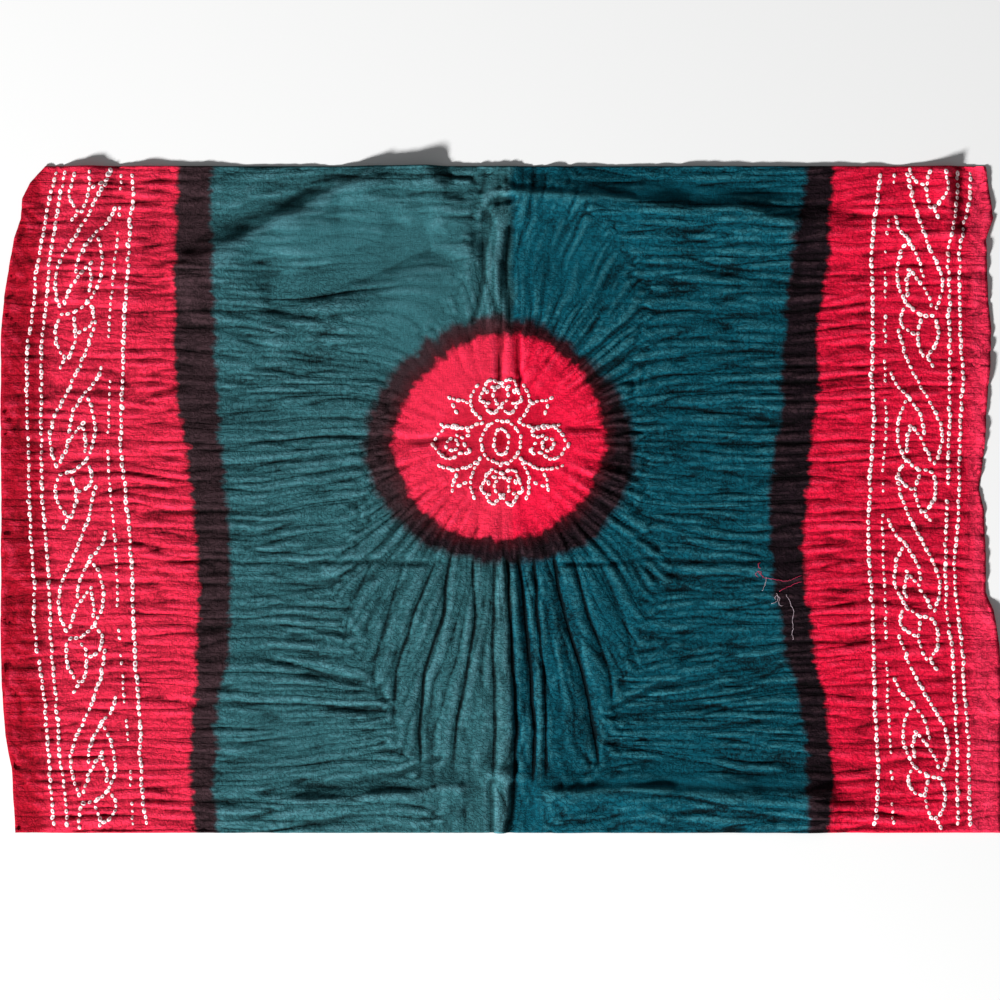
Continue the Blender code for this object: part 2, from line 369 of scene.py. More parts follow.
# Nothing in the cloth runs true: each stray has its size, and the distance between its waves
# across and along the cloth.
Stray = namedtuple("Stray", "size across along seed")
DRIFTS = (Stray(5.0, 150.0, 120.0, 5), Stray(1.8, 40.0, 24.0, 6))
TURNS = (Stray(0.008, 90.0, 90.0, 7), Stray(0.002, 30.0, 30.0, 9))
ROLLS = (Stray(1.5, 85.0, 65.0, 17), Stray(0.9, 42.0, 33.0, 18))
PLEATS_ASTRAY = Stray(1.2, 19.0, 31.0, 19)
CRUMPLE_BEND = Stray(3.0, 21.0, 21.0, 10)
STRENGTH = Stray(0.6, 70.0, 45.0, 8)
CREASES_ASIDE = Stray(1.6, 17.0, 23.0, 14)
CREASES_AHEAD = Stray(1.6, 17.0, 23.0, 15)
CREASES_DEEPER = Stray(1.0, 23.0, 23.0, 16)

# Crinkles differ from place to place: the firm selvedge has its own, those of the fan lose
# height towards its foot, and where two kinds meet the cotton is crumpled.
SELVEDGE_PUFFS = Puffs("selvedge", 15.0, 26.0, 0.0, 0.75, 31)
SELVEDGE_LEAN = 34.0
SELVEDGE_REACH = 24.0
SELVEDGE_WEAKER = 0.4
FAN_HIGHER = 0.35
FAN_LOWER = 0.65
FAN_LOWER_TOP = -60.0
FAN_LOWER_RUN = 40.0
CRUMPLED = 0.14
CRUMPLED_SEAM = 1.2
CRUMPLED_CENTRE = 0.30
CRUMPLED_REACH = 72.0


def ripple(u, v, seed, around=LATTICE):
    """Smooth random ripples about one unit wide, from -1 to 1. Along u they repeat after around."""
    turns = np.random.default_rng(seed).uniform(0.0, 2.0 * np.pi, (around, LATTICE))
    u0, v0 = np.floor(u).astype(int), np.floor(v).astype(int)
    u_part, v_part = u - u0, v - v0

    def corner(i, j):
        turn = turns[(u0 + i) % around, (v0 + j) % LATTICE]
        return np.cos(turn) * (u_part - i) + np.sin(turn) * (v_part - j)

    u_ease, v_ease = ease(u_part), ease(v_part)
    low = corner(0, 0) * (1.0 - u_ease) + corner(1, 0) * u_ease
    high = corner(0, 1) * (1.0 - u_ease) + corner(1, 1) * u_ease
    return RIPPLE_GAIN * (low * (1.0 - v_ease) + high * v_ease)


def astray(stray, x, y):
    return stray.size * ripple(x / stray.across, y / stray.along, stray.seed)


def puff(sway):
    """A rounded puff with a crease wherever the ripple changes sign: 0 in a crease, 1 on top."""
    swell = np.minimum(np.abs(sway) / SHOULDER, 1.0)
    return 2.0 * swell - swell**2


def from_centre(x, y):
    return np.hypot(x - CENTRE_X, y - CENTRE_Y)


def fan_share(x, y):
    """1 where the creases run out from the medallion, 0 where they run across the cloth."""
    zigzag = sum(z.sway * np.sin(2.0 * np.pi * y / z.spacing) for z in ZIGZAGS)
    left = down(FAN_REGION, "left", y) + zigzag
    right = down(FAN_REGION, "right", y) + zigzag
    return ease(np.minimum(x - left, right - x) / FAN_BLEND + 0.5)


def gathered(x, y):
    """Place across the puffs: lines of one value run across the cloth, drawn in at the ties."""
    out_x, out_y = x - CENTRE_X, y - CENTRE_Y
    near = np.exp(-((out_y / np.where(out_y > 0, GATHER_UP, GATHER_DOWN)) ** 4))
    v = out_y * np.sqrt(1.0 + near * (GATHER_REACH / np.maximum(np.abs(out_x), GATHER_NEAREST)) ** 2)
    for tie in TIES:
        v = v + tie.pull * (y - tie.y) * patch_share(tie, x, y)
    return v + sum(astray(drift, x, y) for drift in DRIFTS)


def puff_ripples(x, y):
    """The ripples under each kind of puff, across the cloth and, in the fan, out from the centre."""
    drawn = gathered(x, y)
    fan = fan_share(x, y)
    out = from_centre(x, y)
    turn = np.arctan2(y - CENTRE_Y, x - CENTRE_X) / (2.0 * np.pi)
    turn = turn + sum(astray(stray, x, y) for stray in TURNS)
    found = []
    for p in PUFFS:
        around = int(AROUND * p.count)
        outward = ripple(turn * around, out / p.long, p.seed + 10, around)
        wide_enough = ease(out * 2.0 * np.pi / around / NARROWEST - CLOSING)
        outward = CLOSED + (outward - CLOSED) * wide_enough
        found.append(ripple(x / p.long, drawn / p.narrow, p.seed) * (1.0 - fan) + outward * fan)
    return found


def pleats(x, y):
    """Which crease of the fan is near, counted from the left, its distance unit and its depth."""
    x = x + astray(PLEATS_ASTRAY, x, y)
    upward = slice(len(FAN_STATIONS), 0, -1)
    stations = FAN_STATIONS[::-1]
    places = np.stack([np.interp(y, stations, crease[upward]) for crease in FAN_CREASES])
    last = len(FAN_CREASES) - 1
    number = np.clip((x > places).sum(axis=0) - 1, 0, last - 1)
    low = np.take_along_axis(places, number[None], 0)[0]
    gap = np.take_along_axis(places, number[None] + 1, 0)[0] - low
    count = np.clip(number + (x - low) / gap, -0.5, last + 0.5)
    nearest = np.clip(np.rint(count), 0, last).astype(int)
    depth = np.array([crease.depth for crease in FAN_CREASES])[nearest]
    end = np.array([crease.end for crease in FAN_CREASES])[nearest]
    depth = depth * ease((y - end) / CREASE_END + 0.5) * ease((PLEAT_TOP - y) / CREASE_START)
    return count, gap, depth


def pleat_height(x, y):
    count, gap, depth = pleats(x, y)
    off = (count - np.rint(count)) * gap
    rounded = 1.0 - (2.0 * np.abs(count - np.floor(count) - 0.5)) ** 2
    within = ease((PLEAT_TOP - y) / PLEAT_BLEND) * ease((y - PLEAT_FOOT) / PLEAT_BLEND)
    within = within * fan_share(x, y)
    return PLEAT_RISE * rounded * within - PLEAT_DEPTH * depth * np.exp(-((off / PLEAT_WIDTH) ** 2))


def selvedge_crinkle(x, y):
    p = SELVEDGE_PUFFS
    return puff(ripple(x / p.long + y / SELVEDGE_LEAN, y / p.narrow, p.seed))


def calm_share(x, y):
    """1 where the cloth is fully crinkled, less where it was smoothed out."""
    share = 1.0 - CENTRE_CALM * np.exp(-((from_centre(x, y) / CENTRE_CALM_REACH) ** 4))
    for calm in CALMS:
        share = share * (1.0 - (1.0 - calm.share) * patch_share(calm, x, y))
    return share


def crinkle(x, y):
    """Height of the fine crinkles about the cloth's middle, in millimetres."""
    fan = fan_share(x, y)
    at_edge = np.exp(-(((edge_at(x, y) - np.abs(x)) / SELVEDGE_REACH) ** 2)) * SELVEDGE_PUFFS.share
    height = sum(p.share * puff(sway) for p, sway in zip(PUFFS, puff_ripples(x, y)))
    higher = FAN_HIGHER - FAN_LOWER * ease((FAN_LOWER_TOP - y) / FAN_LOWER_RUN)
    height = 0.5 + (height - 0.5) * (1.0 + fan * higher)
    height = height * (1.0 - at_edge) + selvedge_crinkle(x, y) * at_edge
    near_centre = np.exp(-((from_centre(x, y) / CRUMPLED_REACH) ** 4))
    crumple = CRUMPLED + CRUMPLED_SEAM * fan * (1.0 - fan) + CRUMPLED_CENTRE * near_centre
    bend = astray(CRUMPLE_BEND, x, y)
    crumpled = puff(ripple((x + bend) / CRUMPLE.long, (y - bend) / CRUMPLE.narrow, CRUMPLE.seed))
    height = height * (1.0 - crumple) + crumpled * crumple - 0.5
    strong = (1.0 + astray(STRENGTH, x, y)) * (1.0 - SELVEDGE_WEAKER * at_edge)
    fold_x, fold_y = wander(x, y)
    fold_x = fold_x + astray(CREASES_ASIDE, x, y)
    fold_y = fold_y + astray(CREASES_AHEAD, x, y)
    creased = sum(fold_height(crease, fold_x, fold_y) for crease in CREASES)
    creased = creased * (CREASE_DEPTH + astray(CREASES_DEEPER, x, y))
    rolling = sum(astray(roll, x, y) for roll in ROLLS)
    return CRINKLE * height * calm_share(x, y) * strong + creased + rolling + pleat_height(x, y)


# The tying chart: before dyeing, pinches of cotton are tied tight along drawn lines, and each
# stays white. Four lines and a leafy vine run down each border, and a flower fills the medallion.
Border = namedtuple("Border", "y outer_edge outer_vine inner_vine inner_edge")
LEFT_BORDER = (
    Border(307, -408, -399, -348, -340),
    Border(280, -415, -406, -351, -338),
    Border(255, -419, -409, -351, -341),
    Border(210, -427, -415, -356, -343),
    Border(172, -431, -420, -360, -346),
    Border(142, -436, -423, -361, -347),
    Border(100, -436, -423, -360, -349),
    Border(50, -435, -423, -362, -350),
    Border(0, -434, -422, -359, -345),
    Border(-35, -433, -419, -355, -341),
    Border(-75, -429, -416, -353, -339),
    Border(-110, -430, -415, -353, -338),
    Border(-145, -426, -413, -350, -337),
    Border(-185, -420, -409, -346, -333),
    Border(-235, -416, -406, -342, -332),
    Border(-270, -414, -401, -340, -330),
    Border(-307, -411, -398, -338, -325),
)
RIGHT_BORDER = (
    Border(307, 432, 420, 363, 350),
    Border(280, 432, 420, 361, 347),
    Border(255, 426, 416, 356, 343),
    Border(230, 422, 411, 353, 341),
    Border(190, 422, 413, 354, 342),
    Border(155, 423, 413, 354, 342),
    Border(110, 425, 413, 353, 341),
    Border(70, 423, 413, 355, 343),
    Border(25, 422, 411, 352, 340),
    Border(-20, 421, 410, 351, 338),
    Border(-60, 417, 409, 352, 339),
    Border(-105, 421, 410, 354, 342),
    Border(-145, 425, 416, 355, 343),
    Border(-185, 427, 418, 356, 344),
    Border(-235, 431, 420, 359, 347),
    Border(-270, 431, 420, 360, 347),
    Border(-307, 432, 421, 361, 343),
)

Row = namedtuple("Row", "name pitch size faint")
ROWS_OF_DOTS = (
    Row("outer_edge", 5.7, 1.00, 0.10),
    Row("outer_vine", 5.7, 1.00, 0.14),
    Row("inner_vine", 5.9, 0.86, 0.42),
    Row("inner_edge", 5.9, 1.10, 0.02),
)

# Each stroke is an arc from (u0, v0) to (u1, v1), bowed to its left; u is across the border
# from the vine's middle towards the field, v up from each flower's heart.
Stroke = namedtuple("Stroke", "name u0 v0 u1 v1 bow")
VINE = (
    Stroke("stem, start", 17.5, 138, 12.6, 121, 0),
    Stroke("stem, slanting down", 12.6, 118, -16.5, 57, 1),
    Stroke("stem, round the leaf", -18.5, 52, -17.4, 7, -5),
    Stroke("leaf tip", 23.6, 96, 9, 74, 2.5),
    Stroke("leaf, outer side", 7, 70, -5.5, 38, -2.5),
    Stroke("leaf, inner side", 11.5, 67, 18.4, 34, 2.5),
    Stroke("leaf, back to the heart", 17.5, 29, -1, 2, 3.5),
    Stroke("bud, outer side", 7.4, 45, -12.8, 10, -2.5),
    Stroke("bud, inner side", 7.2, 40, 9, 20, 1.5),
    Stroke("heart", -14, -1.5, -3, 0.5, 0),
    Stroke("drop, outer side", -17, -7, -9.5, -41, -5),
    Stroke("drop, tail", -11, -45, -14, -50, 0),
    Stroke("drop, inner side", -3, -6, -6, -41, 4),
    Stroke("petal", 9.2, 10, 3.6, -18.4, 9),
)
LEFT_HEARTS = (306, 172, 25, -126.5, -278)
RIGHT_HEARTS = (307, 170, 27, -108, -255)
LEFT_REPEAT = 1.0
RIGHT_REPEAT = 0.93
VINE_PITCH = 5.3

# The medallion's flower, in millimetres from its centre. Each arc is drawn once more mirrored.
Point = namedtuple("Point", "name x y")
Loop = namedtuple("Loop", "name x y half_width half_height")
FLOWER = Point("flower", -0.6, 52.4)
FLOWER_PITCH = 4.7
FLOWER_SIZE = 0.94
FLOWER_ARCS = (
    Stroke("upper corner, out", 17.0, 18.2, 53.5, 17, -4.5),
    Stroke("upper corner, up", 18.5, 22, 21.2, 52, -7.5),
    Stroke("lower corner, out", 19.0, -14.5, 57.0, -21.0, -6.5),
    Stroke("lower corner, down", 20.5, -19, 24.5, -50.5, 4.2),
    Stroke("upper spur", 47, 40.8, 30, 36.5, 0),
    Stroke("upper spur, tick", 43.4, 34, 41.2, 27.5, 0),
    Stroke("lower spur", 41.5, -30, 44.2, -43.5, 0),
    Stroke("lower spur, tick", 38.5, -39.5, 32.4, -37, 0),
)
UPRIGHT_HEADS = (
    Point("upper head", 0.4, 43.0),
    Point("lower head", 1.5, -40.2),
)
UPRIGHT_HEAD = (
    Stroke("upper petal", 1.2, 12.2, 15.2, 5.6, 6.0),
    Stroke("side petal", 17.0, 3.0, 11.4, -7.0, 5.0),
    Stroke("inner petal", 7.2, 8.2, 12.4, 4.2, 1.0),
    Stroke("lower petal", 1.4, -10.5, 13.6, -10.0, -6.6),
)
UPRIGHT_LOOP = Loop("heart of an upright head", 0.0, 0.4, 7.0, 8.2)
SIDE_HEAD_MIDDLE = Point("side head", 43.7, -2.0)
SIDE_HEAD = (
    Stroke("upper petal", 16.3, 5.1, -13.6, 12.8, -8.6),
    Stroke("upper petal, hook", -13.4, 8.8, -4.4, 8.4, -1.6),
    Stroke("point", 18.8, 0.4, 18.6, -0.4, 0.0),
    Stroke("lower petal", 16.0, -3.6, -6.6, -8.0, 7.0),
    Stroke("inner petal", -11.6, 0.2, -7.9, -7.6, -6.0),
)
SIDE_LOOP = Loop("heart of a side head", 0.4, 0.4, 5.6, 5.4)
CENTRE_LOOPS = (
    Loop("outer loop", 0.6, 0.4, 18.2, 19.6),
    Loop("inner loop", 1.0, 0.4, 7.0, 11.8),
)
CENTRE_POINT = Point("below the loops", 0.9, -20.8)

# How a hand ties: each dot strays a little from its place, its direction and its size.
ASIDE, AHEAD, ASKEW = 0.38, 0.42, 0.25
SMALLEST, LARGEST = 0.78, 1.22
END_MARGIN = 3.0          # the first dot that is whole lies this far in from a cut end
MISSED_RUN = 17.0         # faint rows miss ties in stretches about this long
MISSED_SEED = 40
FAINT_ROW = 0.3           # rows fainter than this have dots up to SHRUNK smaller
SHRUNK = 0.25
SLOPE_REACH = 4.0

HAND = np.random.default_rng(17)
Dots = namedtuple("Dots", "x y turn size")


def arc_dots(stroke, pitch, repeat=1.0):
    """Points and directions along one arc, about a pitch apart."""
    x0, y0 = stroke.u0, stroke.v0 * repeat
    x1, y1 = stroke.u1, stroke.v1 * repeat
    run = math.hypot(x1 - x0, y1 - y0)
    length = run + 8.0 * stroke.bow**2 / (3.0 * run)
    part = np.linspace(0.0, 1.0, max(2, round(length / pitch) + 1))
    aside = stroke.bow * 4.0 * part * (1.0 - part)
    lean = stroke.bow * 4.0 * (1.0 - 2.0 * part) / run
    ahead_x, ahead_y = (x1 - x0) / run, (y1 - y0) / run
    x = x0 + (x1 - x0) * part - ahead_y * aside
    y = y0 + (y1 - y0) * part + ahead_x * aside
    return x, y, np.arctan2(ahead_y, ahead_x) + np.arctan(lean)


def put(x, y, side, dots):
    """Moves an arc's dots to their place, mirrored where side is -1."""
    u, v, turn = dots
    return x + side * u, y + v, turn if side > 0 else math.pi - turn


def loop_dots(x, y, side, loop):
    count = round(math.pi * (loop.half_width + loop.half_height) / FLOWER_PITCH)
    turn = np.arange(count) * 2.0 * math.pi / count
    across, up = loop.half_width * np.cos(turn), loop.half_height * np.sin(turn)
    ahead = np.arctan2(loop.half_height * np.cos(turn), -loop.half_width * np.sin(turn))
    return x + side * loop.x + across, y + loop.y + up, ahead


def gathered_up(groups):
    """Joins groups of (x, y, turn, size), a little off their places as a hand ties them."""
    x, y, turn, size = (np.concatenate(column) for column in zip(*groups))
    whole = np.abs(y) < LENGTH / 2 - END_MARGIN
    x, y, turn, size = x[whole], y[whole], turn[whole], size[whole]
    return Dots(
        x + HAND.normal(0.0, ASIDE, x.size),
        y + HAND.normal(0.0, AHEAD, x.size),
        turn + HAND.normal(0.0, ASKEW, x.size),
        size * HAND.uniform(SMALLEST, LARGEST, x.size),
    )


def row_dots(border, row, seed):
    """The dots of one line down a border, some of them missed."""
    y = (np.arange(int(LENGTH / row.pitch)) + 0.5) * row.pitch - LENGTH / 2
    y = y[0.5 + 0.5 * ripple(y / MISSED_RUN, y * 0.0 + 0.5, seed) > row.faint]
    ahead, behind = down(border, row.name, y + SLOPE_REACH), down(border, row.name, y - SLOPE_REACH)
    turn = np.arctan2(2.0 * SLOPE_REACH, ahead - behind)
    size = row.size * (1.0 - SHRUNK * (row.faint > FAINT_ROW) * HAND.random(y.size))
    return down(border, row.name, y), y, turn, size


def border_dots(border, hearts, repeat):
    side = -1.0 if border[0].outer_edge < 0 else 1.0
    groups = []
    for number, row in enumerate(ROWS_OF_DOTS):
        groups.append(row_dots(border, row, MISSED_SEED + number + int(side)))
    for heart in hearts:
        for stroke in VINE:
            dots = arc_dots(stroke, VINE_PITCH, repeat)
            y = heart + dots[1]
            middle = 0.5 * (down(border, "outer_vine", y) + down(border, "inner_vine", y))
            groups.append((*put(middle, heart, -side, dots), np.ones(y.size)))
    return gathered_up(groups)


def flower_dots():
    """The flower's arcs, each with its mirror image, its loops and the dot below them."""
    found = []
    for stroke in FLOWER_ARCS:
        dots = arc_dots(stroke, FLOWER_PITCH)
        found += [put(FLOWER.x, FLOWER.y, side, dots) for side in (1.0, -1.0)]
    for head in UPRIGHT_HEADS:
        head_x, head_y = FLOWER.x + head.x, FLOWER.y + head.y
        for stroke in UPRIGHT_HEAD:
            dots = arc_dots(stroke, FLOWER_PITCH)
            found += [put(head_x, head_y, side, dots) for side in (1.0, -1.0)]
        found.append(loop_dots(head_x, head_y, 1.0, UPRIGHT_LOOP))
    for side in (1.0, -1.0):
        middle_x = FLOWER.x + side * SIDE_HEAD_MIDDLE.x
        middle_y = FLOWER.y + SIDE_HEAD_MIDDLE.y
        found += [put(middle_x, middle_y, side, arc_dots(s, FLOWER_PITCH)) for s in SIDE_HEAD]
        found.append(loop_dots(middle_x, middle_y, side, SIDE_LOOP))
    found += [loop_dots(FLOWER.x, FLOWER.y, 1.0, loop) for loop in CENTRE_LOOPS]
    point_x, point_y = FLOWER.x + CENTRE_POINT.x, FLOWER.y + CENTRE_POINT.y
    found.append((np.array([point_x]), np.array([point_y]), np.zeros(1)))
    return gathered_up([(x, y, turn, np.full(x.size, FLOWER_SIZE)) for x, y, turn in found])


left_dots = border_dots(LEFT_BORDER, LEFT_HEARTS, LEFT_REPEAT)
right_dots = border_dots(RIGHT_BORDER, RIGHT_HEARTS, RIGHT_REPEAT)
centre_dots = flower_dots()

# The cloth: one layer of thin plain-woven cotton with its two selvedges, cut straight across
# at both ends. It lies on the folds of the solid, and its underside follows a little below.
YARN_LAYER = 0.5
MIDDLE = 1.45
PUCKER = 0.65             # how far a tied point pulls the cloth round it up, and how wide
PUCKER_REACH = 2.1
PUCKER_LINES = 4
UNDER_STEP = 6            # the underside has a line for every sixth line of the top

Run = namedtuple("Run", "start stop steps")
COLUMNS = (
    Run(-HALF_WIDTH, -436, 6), Run(-436, -325, 36), Run(-325, -150, 38), Run(-150, 150, 124),
    Run(150, 325, 38), Run(325, 436, 36), Run(436, HALF_WIDTH, 6),
)
ROWS = (Run(-LENGTH / 2, LENGTH / 2, 324),)


def lines(runs):
    places = [runs[0].start]
    for run in runs:
        places += list(np.linspace(run.start, run.stop, run.steps + 1)[1:])
    return np.array(places)


columns, rows = lines(COLUMNS), lines(ROWS)
flat_x, grid_y = np.meshgrid(columns, rows)
grid_x = placed(flat_x, grid_y)
grid_z = MIDDLE + lift(grid_x, grid_y) + crinkle(grid_x, grid_y)


def pull_up(dots):
    """Raises a soft pucker in the cloth under each tied point."""
    for x, y in zip(dots.x, dots.y):
        row = np.searchsorted(rows, y)
        near_rows = slice(max(row - PUCKER_LINES, 0), row + PUCKER_LINES)
        column = np.searchsorted(grid_x[min(row, len(rows) - 1)], x)
        near_columns = slice(max(column - PUCKER_LINES, 0), column + PUCKER_LINES)
        gap = np.hypot(grid_x[near_rows, near_columns] - x, grid_y[near_rows, near_columns] - y)
        grid_z[near_rows, near_columns] += PUCKER * np.exp(-((gap / PUCKER_REACH) ** 2))


for dots in (left_dots, right_dots, centre_dots):
    pull_up(dots)
grid_z = np.maximum(grid_z, YARN_LAYER)


def around_each(height, reach, axis):
    """The heights within so many lines of each place, along one way."""
    padded = np.pad(height, [(reach, reach) if a == axis else (0, 0) for a in (0, 1)], mode="edge")
    return np.lib.stride_tricks.sliding_window_view(padded, 2 * reach + 1, axis=axis)


def lowest_near(height, reach):
    for axis in (0, 1):
        height = around_each(height, reach, axis).min(axis=-1)
    return height


def blurred(height, reaches):
    for axis, reach in enumerate(reaches):
        height = around_each(height, reach, axis).mean(axis=-1)
    return height


def coarse_lines(count):
    """Every sixth line, and always the last."""
    picked = list(range(0, count - 1, UNDER_STEP))
    if count - 1 - picked[-1] < UNDER_STEP // 2:
        picked.pop()
    return picked + [count - 1]


def cloth_shape():
    """Points and faces: a fine top, an underside of larger faces, and the cut edge between."""
    row_count, column_count = grid_z.shape
    count = grid_z.size
    index = np.arange(count).reshape(grid_z.shape)
    under = np.maximum(lowest_near(grid_z, UNDER_STEP) - YARN_LAYER, 0.0)
    rim = np.zeros(grid_z.shape, bool)
    rim[[0, -1], :] = rim[:, [0, -1]] = True
    under[rim] = np.maximum(grid_z[rim] - YARN_LAYER, 0.0)
    picked_rows, picked_columns = coarse_lines(row_count), coarse_lines(column_count)
    used = rim.copy()
    used[np.ix_(picked_rows, picked_columns)] = True
    under_index = np.full(grid_z.shape, -1)
    under_index[used] = count + np.arange(used.sum())
    points = np.concatenate([
        np.column_stack([grid_x.ravel(), grid_y.ravel(), grid_z.ravel()]),
        np.column_stack([grid_x[used], grid_y[used], under[used]]),
    ])
    faces = np.column_stack([
        index[:-1, :-1].ravel(), index[:-1, 1:].ravel(), index[1:, 1:].ravel(), index[1:, :-1].ravel()
    ]).tolist()
    for low_row, high_row in zip(picked_rows, picked_rows[1:]):
        for low, high in zip(picked_columns, picked_columns[1:]):
            around = []
            across = range(low, high)
            around += [(low_row, c) for c in across if c == low or low_row == 0]
            up = range(low_row, high_row)
            around += [(r, high) for r in up if r == low_row or high == column_count - 1]
            back = range(high, low, -1)
            around += [(high_row, c) for c in back if c == high or high_row == row_count - 1]
            home = range(high_row, low_row, -1)
            around += [(r, low) for r in home if r == high_row or low == 0]
            faces.append([int(under_index[place]) for place in reversed(around)])
    border = [(0, c) for c in range(column_count)]
    border += [(r, column_count - 1) for r in range(1, row_count)]
    border += [(row_count - 1, c) for c in range(column_count - 2, -1, -1)]
    border += [(r, 0) for r in range(row_count - 2, -1, -1)]
    for one, two in zip(border, border[1:]):
        faces.append([int(i) for i in (under_index[one], under_index[two], index[two], index[one])])
    return points, faces, used


# Where the dyes end: each band's edges wander down the cloth, and the ring is uneven round
# its centre. Places are in millimetres, and turns in degrees from the right.
Band = namedtuple("Band", "y left_black left_teal right_teal right_black")
BANDS = (
    Band(307, -298, -267, 282, 306),
    Band(280, -299, -267, 279, 305),
    Band(258, -299, -267, 272, 303),
    Band(215, -300, -264, 266, 302),
    Band(190, -299, -264, 262, 297),
    Band(155, -300, -264, 261, 291),
    Band(115, -301, -261, 258, 293),
    Band(85, -297, -260, 258, 291),
    Band(50, -290, -258, 252, 285),
    Band(25, -288, -255, 249, 285),
    Band(0, -284, -252, 246, 282),
    Band(-45, -281, -249, 248, 278),
    Band(-85, -279, -248, 251, 280),
    Band(-110, -279, -250, 256, 286),
    Band(-145, -281, -250, 263, 289),
    Band(-175, -281, -259, 273, 297),
    Band(-205, -284, -264, 278, 301),
    Band(-235, -287, -262, 282, 305),
    Band(-270, -286, -264, 281, 307),
    Band(-307, -280, -261, 282, 301),
)

Ring = namedtuple("Ring", "turn inner outer")
MEDALLION = (
    Ring(-180, 97.0, 125.0),
    Ring(-135, 95.5, 118.5),
    Ring(-90, 90.5, 113.0),
    Ring(-45, 93.0, 125.5),
    Ring(0, 96.0, 124.5),
    Ring(45, 95.5, 108.5),
    Ring(90, 97.5, 113.5),
    Ring(135, 90.0, 112.0),
    Ring(180, 97.0, 125.0),
)


def dye_edges(x, y):
    """How far each place lies inside the bands, the field, the ring and the medallion."""
    edge = {name: down(BANDS, name, y) for name in Band._fields[1:]}
    turn = np.degrees(np.arctan2(y - CENTRE_Y, x - CENTRE_X))
    turns = [r.turn for r in MEDALLION]
    return {
        "in_band": np.minimum(x - edge["left_black"], edge["right_black"] - x),
        "in_field": np.minimum(x - edge["left_teal"], edge["right_teal"] - x),
        "in_ring": np.interp(turn, turns, [r.outer for r in MEDALLION]) - from_centre(x, y),
        "in_medallion": np.interp(turn, turns, [r.inner for r in MEDALLION]) - from_centre(x, y),
    }


def mesh_object(name, points, faces):
    mesh = bpy.data.meshes.new(name)
    mesh.from_pydata((np.asarray(points) * MM).tolist(), [], faces)
    mesh.polygons.foreach_set("use_smooth", np.ones(len(mesh.polygons), bool))
    thing = bpy.data.objects.new(name, mesh)
    bpy.context.scene.collection.objects.link(thing)
    return thing


def mark(thing, name, values):
    """Stores one number for each point, for the material to read."""
    layer = thing.data.attributes.new(name, "FLOAT", "POINT")
    layer.data.foreach_set("value", np.asarray(values, np.float32))


HOLLOW_REACHES = (3, 2)   # lines of the mesh, down and across
HOLLOW_DEPTH = 1.1

points, faces, under_used = cloth_shape()
cloth = mesh_object("bandhani_cotton", points, faces)
marks = dye_edges(grid_x, grid_y)
marks["fan"] = fan_share(grid_x, grid_y)
marks["crinkled"] = calm_share(grid_x, grid_y)
marks["drawn_in"] = gathered(grid_x, grid_y)
marks.update(zip(("pleat", "pleat_gap", "pleat_depth"), pleats(grid_x, grid_y)))
marks.update(zip([p.name + "_puffs" for p in PUFFS], puff_ripples(grid_x, grid_y)))
for name, values in marks.items():
    mark(cloth, name, np.concatenate([values.ravel(), values[under_used]]))
# The hollow mark: how far each place lies below the cloth round it. From it, the material paints
# shade into the hollows and highlights onto the crests.
hollow = np.clip((blurred(grid_z, HOLLOW_REACHES) - grid_z) / HOLLOW_DEPTH, -1.0, 1.0)
mark(cloth, "hollow", np.concatenate([hollow.ravel(), np.zeros(under_used.sum())]))


class Wire:
    """A node's output. Arithmetic on it adds Math nodes, and node() adds any other."""

    def __init__(self, tree, socket=None):
        self.tree, self.socket = tree, socket

    def node(self, kind, settings=None, sockets=None, out=0):
        made = self.tree.nodes.new(kind)
        for name, value in (settings or {}).items():
            if name == "stops":
                ramp = made.color_ramp
                while len(ramp.elements) < len(value):
                    ramp.elements.new(0.5)
                for element, (place, colour) in zip(ramp.elements, value):
                    element.position, element.color = place, colour
            else:
                setattr(made, name, value)
        for name, value in (sockets or {}).items():
            if isinstance(value, Wire):
                self.tree.links.new(value.socket, made.inputs[name])
            else:
                made.inputs[name].default_value = value
        return Wire(self.tree, made.outputs[out])

    def math(self, operation, *values):
        return self.node("ShaderNodeMath", {"operation": operation}, dict(enumerate(values)))

    def __add__(self, other):
        return self.math("ADD", self, other)

    def __sub__(self, other):
        return self.math("SUBTRACT", self, other)

    def __rsub__(self, other):
        return self.math("SUBTRACT", other, self)

    def __mul__(self, other):
        return self.math("MULTIPLY", self, other)

    def __truediv__(self, other):
        return self.math("DIVIDE", self, other)

    def __rtruediv__(self, other):
        return self.math("DIVIDE", other, self)

    __radd__, __rmul__ = __add__, __mul__

    def of_itself(self, operation):
        """A function of this value alone, such as its root or its sine."""
        return self.math(operation, self)

    def step(self, low, high):
        """0 up to low, 1 from high, and smooth between."""
        return self.node(
            "ShaderNodeMapRange",
            {"interpolation_type": "SMOOTHSTEP"},
            {"Value": self, "From Min": low, "From Max": high},
        )

    def mixed(self, first, second):
        """First where this is 0 and second where it is 1, both colours."""
        settings = {"data_type": "RGBA", "clamp_factor": True}
        return self.node("ShaderNodeMix", settings, {0: self, 6: first, 7: second}, 2)

    def vector(self, x=0.0, y=0.0, z=0.0):
        return self.node("ShaderNodeCombineXYZ", None, {"X": x, "Y": y, "Z": z})

    def noise(self, place, detail):
        """Noise round 0, from about -0.5 to 0.5, with waves one unit long."""
        sockets = {"Vector": place, "Scale": 1.0, "Detail": detail}
        return self.node("ShaderNodeTexNoise", None, sockets) - 0.5

    def attribute(self, name):
        return self.node("ShaderNodeAttribute", {"attribute_name": name}, None, 2)


def dye(red, green, blue):
    """A colour as the eye and the screen give it, from 0 to 255, as light."""
    light = [((c / 255 + 0.055) / 1.055) ** 2.4 if c > 10 else c / 3295 for c in (red, green, blue)]
    return (*light, 1.0)


SHINE = 0.08              # plain cotton has hardly any


